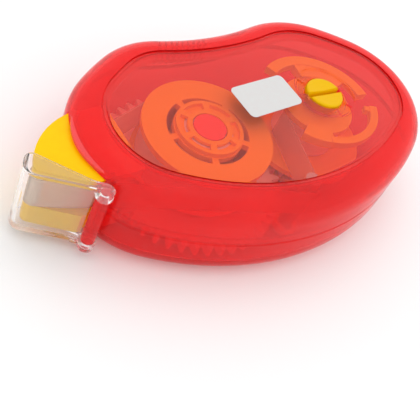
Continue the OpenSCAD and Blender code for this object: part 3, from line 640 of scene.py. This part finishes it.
root = KNUCKLE_R + SWING
corner = Vector((CAP_LONG - CAP_CORNER, CAP_FACE + CAP_CORNER))
rear = Vector((CAP_LONG - CAP_BACK, CAP_DEEP_END - CAP_BACK))
outside = [Vector((root, CAP_FACE))]
outside += sweep(corner, [CAP_CORNER] * CAP_CORNER_STEPS, -QUARTER, 0)
outside += [Vector((CAP_LONG, corner.y))]
outside += sweep(rear, [CAP_BACK] * CAP_BACK_STEPS, 0, QUARTER)
outside += [Vector((rear.x, CAP_DEEP_END)), Vector((root, CAP_DEEP_ROOT))]
hollow_end = CAP_LONG - CAP_WALL
hollow = [Vector((-root, CAP_FACE + CAP_WALL))]
hollow += sweep(corner, [CAP_CORNER - CAP_WALL] * CAP_CORNER_STEPS, -QUARTER, 0)
hollow += [Vector((hollow_end, corner.y)), Vector((hollow_end, OPEN_SIDE)), Vector((-root, OPEN_SIDE))]
arm_end = root + EAR_ARM
arm = [Vector((0, CAP_FACE)), Vector((arm_end, CAP_FACE)), Vector((arm_end, EAR_R)), Vector((0, EAR_R))]
plate_low, plate_high = EAR_BOTTOM + EAR_LIP, EAR_TOP - EAR_LIP
cap = prism("clear_cap", in_cap(outside), plate_low, plate_high, edge=CAP_EDGE)
for low in (EAR_BOTTOM, EAR_TOP - EAR_HIGH):
    high = low + EAR_HIGH
    ear_arm = prism("ear_arm", in_cap(arm), low + EAR_ARM_INSET, high - EAR_ARM_INSET, edge=EAR_ARM_EDGE)
    shape(cap, ear_arm, "UNION")
    shape(cap, rod("ear", HINGE, EAR_R, low, high, edge=EAR_EDGE), "UNION")
cavity = prism("hollow", in_cap(hollow), plate_low + CAP_WALL, plate_high - CAP_WALL, edge=CAP_INNER_EDGE)
shape(cap, cavity, "DIFFERENCE")
shape(cap, rod("swing", HINGE, root, EAR_BOTTOM + EAR_HIGH, EAR_TOP - EAR_HIGH), "DIFFERENCE")
pin_holes = rod("pin_holes", HINGE, STUB_R + PIN_PLAY, EAR_BOTTOM + EAR_SKIN, EAR_TOP - EAR_SKIN)
shape(cap, pin_holes, "DIFFERENCE")
clear_styrene = moulded("clear_styrene", (0.985, 0.99, 0.995), (0.02, 0.05), fine=5.0, depth=0.002, clear=1.0,
                        ior=1.36, coat=1.0)
dress(cap, clear_styrene)
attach(cap, "cap")
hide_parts("tip_cap")

# Studio
# A matt white floor under plain white light from all round, a little stronger straight overhead.
# The camera stands where the photograph was taken and is rolled with it.
CAMERA_AT = Vector((-0.1161, -0.0937, 0.1549))
CAMERA_TURN = math.radians(-54.63)
CAMERA_RISE = math.radians(46.57)
CAMERA_ROLL = math.radians(28.87)
CAMERA_LENS = 73.77
CAMERA_SENSOR = 36
CAMERA_NEAR = 0.01
LIGHT_AROUND = 1.06
LIGHT_OVERHEAD = 1.4
# Height of the direction, with 1 straight up, where the stronger light starts and where it is full
OVERHEAD_FROM = 0.82
OVERHEAD_FULL = 0.93
FLOOR_HALF = 3
FLOOR_COLOUR = (0.95, 0.95, 0.95, 1)
FLOOR_ROUGH = 0.6
FLOOR_SHINE = 0.2
CLEAR_BOUNCES = 32
SURFACE_BOUNCES = 10

back = Vector((math.sin(CAMERA_TURN) * math.cos(CAMERA_RISE), -math.cos(CAMERA_TURN) * math.cos(CAMERA_RISE),
               math.sin(CAMERA_RISE)))
level = Vector((math.cos(CAMERA_TURN), math.sin(CAMERA_TURN), 0))
upright = back.cross(level)
right = level * math.cos(CAMERA_ROLL) + upright * math.sin(CAMERA_ROLL)
up = upright * math.cos(CAMERA_ROLL) - level * math.sin(CAMERA_ROLL)
camera_data = bpy.data.cameras.new("camera")
camera_data.lens = CAMERA_LENS
camera_data.sensor_width = CAMERA_SENSOR
camera_data.clip_start = CAMERA_NEAR
camera = bpy.data.objects.new("camera", camera_data)
camera.matrix_world = Matrix.Translation(CAMERA_AT) @ Matrix((right, up, back)).transposed().to_4x4()
bpy.context.scene.collection.objects.link(camera)
bpy.context.scene.camera = camera

world = bpy.data.worlds.new("studio")
world.use_nodes = True
bpy.context.scene.world = world
sky_tree = world.node_tree
sky = sky_tree.nodes["Background"]
sky.inputs["Color"].default_value = (1, 1, 1, 1)
sky_coords = sky_tree.nodes.new("ShaderNodeTexCoord")
sky_parts = sky_tree.nodes.new("ShaderNodeSeparateXYZ")
sky_ramp = sky_tree.nodes.new("ShaderNodeMapRange")
sky_ramp.interpolation_type = "SMOOTHSTEP"
sky_ramp.inputs["From Min"].default_value = OVERHEAD_FROM
sky_ramp.inputs["From Max"].default_value = OVERHEAD_FULL
sky_ramp.inputs["To Min"].default_value = LIGHT_AROUND
sky_ramp.inputs["To Max"].default_value = LIGHT_OVERHEAD
sky_tree.links.new(sky_coords.outputs["Generated"], sky_parts.inputs["Vector"])
sky_tree.links.new(sky_parts.outputs["Z"], sky_ramp.inputs["Value"])
sky_tree.links.new(sky_ramp.outputs["Result"], sky.inputs["Strength"])

bm = bmesh.new()
floor_at = Matrix.Translation((0, 0, -HAIR * MM))
bmesh.ops.create_grid(bm, x_segments=1, y_segments=1, size=FLOOR_HALF, matrix=floor_at)
floor = finish_mesh("floor", bm)
floor_white = bpy.data.materials.new("floor_white")
floor_white.use_nodes = True
floor_shader = floor_white.node_tree.nodes["Principled BSDF"]
floor_shader.inputs["Base Color"].default_value = FLOOR_COLOUR
floor_shader.inputs["Roughness"].default_value = FLOOR_ROUGH
floor_shader.inputs["Specular IOR Level"].default_value = FLOOR_SHINE
dress(floor, floor_white)

bpy.context.scene.view_settings.view_transform = "Standard"
bpy.context.scene.cycles.max_bounces = CLEAR_BOUNCES
bpy.context.scene.cycles.transmission_bounces = CLEAR_BOUNCES
bpy.context.scene.cycles.diffuse_bounces = SURFACE_BOUNCES
bpy.context.scene.cycles.glossy_bounces = SURFACE_BOUNCES
